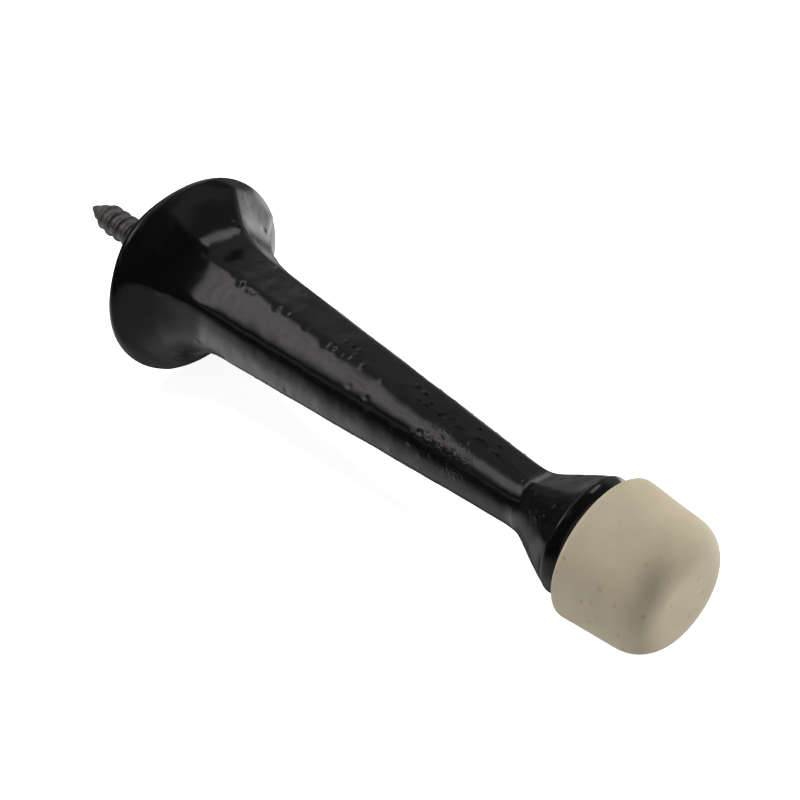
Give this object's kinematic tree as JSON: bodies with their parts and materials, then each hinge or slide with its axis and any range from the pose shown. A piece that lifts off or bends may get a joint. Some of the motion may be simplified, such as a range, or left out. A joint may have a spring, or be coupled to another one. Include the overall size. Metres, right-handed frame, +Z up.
{
  "type": "baseboard door stop",
  "caption": "Wall-mounted door stop: a round flange flares into a tapered octagonal shaft, with a wood screw behind it and a rubber bumper at the tip.",
  "frame": {"origin": "centre of the flange's flat back, on the axis of the screw, which is where the wall's face meets the stop", "axes": "+Y runs along the screw into the wall, the rubber tip points along -Y, +Z is up"},
  "size_m": [0.0318, 0.1207, 0.0318],
  "materials": {
    "black_paint": "thick gloss black paint over a rough casting, with pits and grit under it",
    "screw_steel": "dull grey bare steel, browned at the point",
    "cream_rubber": "matt cream rubber with small brown specks"
  },
  "bodies": {
    "root": {"cast_body": "black_paint", "hanger_screw": "screw_steel", "rubber_tip": "cream_rubber"}
  },
  "joints": []
}
